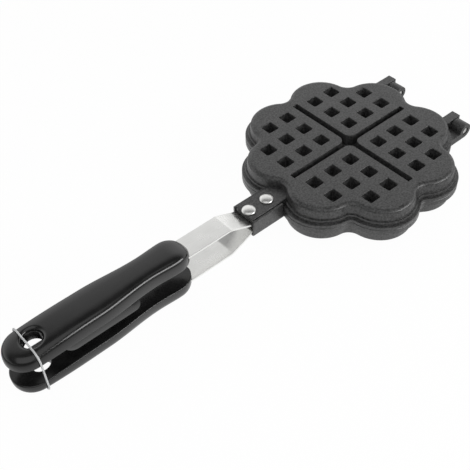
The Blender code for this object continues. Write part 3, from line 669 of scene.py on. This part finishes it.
# Grips
grip = {
    "front": 148.0, "long": 124.0, "thick": 10.8, "fall": 1.7, "offset": 7.2,
    "squareness": 4.3, "sectionSteps": 18,    # the section lies between an ellipse (2) and a box
    "widths": [(10.0, 11.7), (29.0, 10.8), (68.0, 13.4), (100.0, 13.7)],
    "tip": 2.6, "round": 13.0, "roll": 14.0, "planPower": 2.0, "tipHigh": 0.30, "collar": 0.3,
    "nose": [-2.42, -2.1, -1.6, -0.9, -0.02, 0.0, 0.5, 1.2, 2.1, 3.2, 4.5, 6.0, 7.6, 9.4, 11.4], "end": 13.7,
    "hole": 18.5, "holeRadius": 6.0, "holeRound": 2.6, "tieAt": 109.5, "bodySteps": 56,
    "holeBreak": [(0.6, 0), (0.15, 0.25), (0, 0.7)], "holeFlare": (2.0, 2.6),
    "recess": (36.0, 90.0), "recessHalf": 6.4, "recessDeep": 1.4, "slotGap": 0.3, "rimRound": 0.8,
}


def gripHalf(along):
    knots = grip["widths"]
    if along <= knots[0][0]:
        return knots[0][1]
    for (start, wide), (stop, after) in zip(knots, knots[1:]):
        if along <= stop:
            return wide + (after - wide) * (1 - math.cos(math.pi * (along - start) / (stop - start))) / 2
    return knots[-1][1]


def gripThick(along):
    fall = 2 * grip["widths"][-1][0] - grip["long"]
    share = min(1, max(0, (along - fall) / (grip["tieAt"] - fall)))
    return grip["thick"] - grip["fall"] * share**2


def gripSection():
    # Shares of half width and height, from the inner rim up one side, over the crown and down the other
    power, steps = 2 / grip["squareness"], grip["sectionSteps"]
    turns = [math.pi / 2 * k / steps for k in range(steps)]
    side = [(math.cos(a)**power, math.sin(a)**power) for a in turns]
    return side + [(0.0, 1.0)] + [(-y, z) for y, z in reversed(side)]


def gripSize(along):
    # Half width and height of the section. The nose is a dome, and ahead of its collar it is a step smaller.
    reach = max(0, grip["round"] - grip["tip"] - along) / grip["round"]
    roll = max(0, grip["roll"] - grip["tip"] - along) / grip["roll"]
    wide = (1 - reach**grip["planPower"])**(1 / grip["planPower"])
    high = grip["tipHigh"] + (1 - grip["tipHigh"]) * math.sqrt(1 - roll**2)
    step = grip["collar"] if along < 0 else 0
    return gripHalf(along) * wide - step, gripThick(along) * high - step


def gripBody():
    # Local frame: x along from the nose, y across, z up from the flat inner face
    start, stop = grip["nose"][-1], grip["long"] - grip["end"]
    count = grip["bodySteps"]
    places = grip["nose"] + [start + (stop - start) * k / count for k in range(1, count + 1)]
    half, rise = gripSize(places[0])
    bm = bmesh.new()
    ring = [bm.verts.new((places[0] * mm, y * half * mm, z * rise * mm)) for y, z in gripSection()]
    edges = [bm.edges.new(pair) for pair in zip(ring, ring[1:] + ring[:1])]
    for along, nextAlong in zip(places, places[1:]):
        newHalf, newRise = gripSize(nextAlong)
        grown = bmesh.ops.extrude_edge_only(bm, edges=edges)["geom"]
        edges, verts = edgesIn(grown), vertsIn(grown)
        bmesh.ops.scale(bm, vec=(1, newHalf / half, newRise / rise), verts=verts)
        bmesh.ops.translate(bm, vec=((nextAlong - along) * mm, 0, 0), verts=verts)
        half, rise = newHalf, newRise
    # The rear end is half of the section turned round
    outline = [e for e in edges if max(v.co.z for v in e.verts) > same / 10
               and min(v.co.y for v in e.verts) > -same / 10]
    bmesh.ops.spin(bm, geom=outline + list({v for e in outline for v in e.verts}), cent=(stop * mm, 0, 0),
                   axis=(0, 0, 1), angle=-math.pi, steps=2 * grip["sectionSteps"])
    bmesh.ops.remove_doubles(bm, verts=bm.verts, dist=weld)
    bmesh.ops.holes_fill(bm, edges=[e for e in bm.edges if e.is_boundary], sides=0)
    bmesh.ops.recalc_face_normals(bm, faces=bm.faces)
    low = [f for f in bm.faces if max(v.co.z for v in f.verts) < same / 10]
    inner = bmesh.ops.dissolve_faces(bm, faces=low)["region"]
    rim = [e for f in inner for e in f.edges if min(v.co.x for v in e.verts) > 0.1 * mm]
    bevel(bm, rim, grip["rimRound"], 5)
    return bm


def crownDrop(along, across):
    # How far the outer surface lies below the crown's line at the hole
    share = min(0.95, abs(across) / gripHalf(along))**grip["squareness"]
    return gripThick(grip["long"] - grip["hole"]) - gripThick(along) * (1 - share)**(1 / grip["squareness"])


def scoop(start, stop, half, deep):
    # A long round-ended tool whose nose is a shallow bowl
    low = -past
    bm = bmesh.new()
    tips = []
    for x, y in ((stop, -half), (start, half)):
        tip = bm.verts.new((x * mm, y * mm, low * mm))
        spun = bmesh.ops.spin(bm, geom=[tip], cent=(x * mm, 0, 0), axis=(0, 0, 1), angle=math.pi, steps=16)
        tips += [tip, spun["geom_last"][0]]
    bm.edges.new((tips[1], tips[2]))
    bm.edges.new((tips[3], tips[0]))
    face = fill(bm, bm.edges[:], -1)
    top = facesIn(bmesh.ops.extrude_face_region(bm, geom=[face], use_keep_orig=True)["geom"])[0]
    bmesh.ops.translate(bm, vec=(0, 0, -low * mm), verts=top.verts)
    bmesh.ops.recalc_face_normals(bm, faces=bm.faces)
    levels = [deep * (1 - (1 - k / 10)**2) for k in range(10)]
    for before, after in zip(levels, levels[1:]):
        insetFace(bm, top, half / 10, after - before)
    return bm


def makeGrip(side):
    bm = gripBody()
    at = grip["long"] - grip["hole"]
    crown, radius, rim = gripThick(at), grip["holeRadius"], grip["holeRound"]
    innerBreak, (flareOut, flareUp) = grip["holeBreak"], grip["holeFlare"]
    profile = [(0, -past), (radius + innerBreak[0][0] + past, -past)]
    profile += [(radius + out, up) for out, up in innerBreak]
    profile += [(radius + rim * (1 - math.cos(a)), crown - rim * (1 - math.sin(a)))
                for a in (math.pi / 2 * k / 10 for k in range(11))]
    profile += [(radius + rim + flareOut, crown + flareUp), (0, crown + flareUp)]
    tool = lathe(profile, Matrix.Translation((at * mm, 0, 0)), 72)
    for v in tool.verts:    # the rounded rim follows the crown
        share = min(1, max(0, (v.co.z / mm - crown + rim) / rim))
        v.co.z -= share * crownDrop(v.co.x / mm, v.co.y / mm) * mm
    bm = combine(bm, tool)
    start, stop = (x + s * grip["recessHalf"] for x, s in zip(grip["recess"], (1, -1)))
    bm = combine(bm, scoop(start, stop, grip["recessHalf"], grip["recessDeep"]))
    gap, middle = grip["slotGap"], strip["offset"] - grip["offset"]
    end, wide, high = strip["end"] - grip["front"] + gap, strip["half"] + gap, strip["thick"] / 2 + gap
    bm = combine(bm, box((-past * mm, -wide * mm, (middle - high) * mm),
                         (end * mm, wide * mm, (middle + high) * mm)))
    inner = layout["gripMiddle"] + side * grip["offset"] * mm
    spot = Matrix.Translation((layout["plateX"] - grip["front"] * mm, 0, inner))
    bmesh.ops.transform(bm, matrix=spot @ Matrix.Diagonal((-1, 1, side, 1)), verts=bm.verts)
    bmesh.ops.recalc_face_normals(bm, faces=bm.faces)
    return bm


for word, side in (("upper", 1), ("lower", -1)):
    finishPiece(word + "Grip", makeGrip(side), phenolic, word + "_grip", 50, 12)


# Clear tie, pulled tight round both grips
tie = {"radius": 0.6, "gap": 0.3}
half, rise = (size + tie["radius"] + tie["gap"] for size in gripSize(grip["tieAt"]))
upperHalf = [(y * half, grip["offset"] + z * rise) for y, z in gripSection()]
loop = upperHalf + [(-y, -z) for y, z in upperHalf]
curve = bpy.data.curves.new("tieLoop", "CURVE")
curve.dimensions = "3D"
curve.bevel_depth = tie["radius"] * mm
curve.bevel_resolution = 4
line = curve.splines.new("POLY")
line.points.add(len(loop) - 1)
tieX = layout["plateX"] - (grip["front"] + grip["tieAt"]) * mm
for point, (y, z) in zip(line.points, loop):
    point.co = (tieX, y * mm, layout["gripMiddle"] + z * mm, 1)
line.use_cyclic_u = True
curve.materials.append(nylon)
tieLoop = link("tieLoop", curve)
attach(tieLoop, "tie_loop")
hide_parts("tie")
print("tie made")


# Floor, lights and camera
studio = {
    "floor": "#F2F2F2",
    "floorSeen": 0.97,    # share of plain white in what the lens and glossy faces see of the floor
    "paintedPool": (0.08, 0.32), "paintedPoolGlow": (1.15, 0.15),    # metres out, and the strength of the painted pool of light that the floor shows in glossy faces
    "walls": 1.2, "ceiling": 0.14, "lean": (0.32, 0.57), "fade": (0.17, 0.64),    # bright low behind the iron
}


def makeFloor():
    bm = bmesh.new()
    bmesh.ops.create_grid(bm, x_segments=1, y_segments=1, size=6.0)
    mesh = bpy.data.meshes.new("floor")
    bm.to_mesh(mesh)
    bm.free()
    material, tree, shader, spot = newFinish("paleFloor")
    shader.inputs["Base Color"].default_value = sRgb(studio["floor"])
    shader.inputs["Roughness"].default_value = 0.9
    rays = addNode(tree, "ShaderNodeLightPath").outputs
    glossy = rays["Is Glossy Ray"]

    def combined(first, second, operation):
        return addNode(tree, "ShaderNodeMath", {0: first, 1: second}, operation=operation).outputs[0]

    seen = combined(rays["Is Camera Ray"], rays["Is Transmission Ray"], "MAXIMUM")
    share = combined(combined(seen, glossy, "MAXIMUM"), studio["floorSeen"], "MULTIPLY")
    out = addNode(tree, "ShaderNodeVectorMath", {0: spot}, operation="LENGTH").outputs["Value"]
    # Glossy faces see the floor glow brighter near the iron and dimmer farther out: a painted pool of light.
    paintedPool = span(tree, out, *studio["paintedPool"], *studio["paintedPoolGlow"])
    lit = addNode(tree, "ShaderNodeMix", {0: glossy, 2: 1.0, 3: paintedPool}).outputs[0]
    glow = addNode(tree, "ShaderNodeEmission", {"Color": (1, 1, 1, 1), "Strength": lit}).outputs[0]
    mixed = addNode(tree, "ShaderNodeMixShader", {0: share, 1: shader.outputs["BSDF"], 2: glow})
    tree.links.new(mixed.outputs[0], tree.nodes["Material Output"].inputs["Surface"])
    mesh.materials.append(material)
    link("floor", mesh)


def makeWorld():
    world = bpy.data.worlds.new("studio")
    scene.world = world
    world.use_nodes = True
    tree = world.node_tree
    spot = addNode(tree, "ShaderNodeTexCoord").outputs["Generated"]
    height = addNode(tree, "ShaderNodeSeparateXYZ", {0: spot}).outputs["Z"]
    lean = addNode(tree, "ShaderNodeVectorMath", {0: spot, 1: (*studio["lean"], 0)}, operation="DOT_PRODUCT")
    level = addNode(tree, "ShaderNodeMath", {0: height, 1: lean.outputs["Value"]}, operation="SUBTRACT")
    fade = span(tree, level.outputs[0], *studio["fade"], studio["walls"], studio["ceiling"])
    seen = addNode(tree, "ShaderNodeLightPath").outputs["Is Camera Ray"]
    shown = addNode(tree, "ShaderNodeMath", {0: fade, 1: seen}, operation="MAXIMUM")
    tree.links.new(shown.outputs[0], tree.nodes["Background"].inputs["Strength"])
    tree.nodes["Background"].inputs["Color"].default_value = (1, 1, 1, 1)


def softbox(name, at, target, wide, high, watts, mirrored=True):
    lamp = bpy.data.lights.new(name, "AREA")
    lamp.shape = "RECTANGLE"
    lamp.size, lamp.size_y = wide, high
    lamp.energy = watts
    thing = link(name, lamp)
    thing.location = at
    thing.rotation_euler = (Vector(target) - Vector(at)).to_track_quat("-Z", "Y").to_euler()
    thing.visible_glossy = mirrored


makeFloor()
makeWorld()
softbox("overheadBox", (-0.46, -0.46, 1.13), (0, 0, 0), 1.5, 1.5, 6.0)
softbox("sideBox", (0.61, -1.13, 0.57), (0, 0, 0), 1.1, 0.42, 11.5)
softbox("fillBox", (-0.9, -1.3, 0.9), (0, 0, 0), 1.6, 1.0, 4.0, False)

view = {
    "at": (-0.2376, -0.2766, 0.3852), "lens": 60.47,
    "right": (0.75630102, -0.65356562, -0.02933854), "down": (-0.48841277, -0.5342144, -0.68997677),
    "ahead": (0.43527203, 0.53615945, -0.72323669),
}
lens = bpy.data.cameras.new("camera")
lens.lens = view["lens"]
lens.sensor_width = 36.0
lens.clip_start = 0.01
camera = link("camera", lens)
axes = Matrix((view["right"], [-c for c in view["down"]], [-c for c in view["ahead"]])).transposed()
camera.matrix_world = Matrix.Translation(view["at"]) @ axes.to_4x4()
scene.camera = camera
scene.view_settings.view_transform = "Standard"
print("studio made")
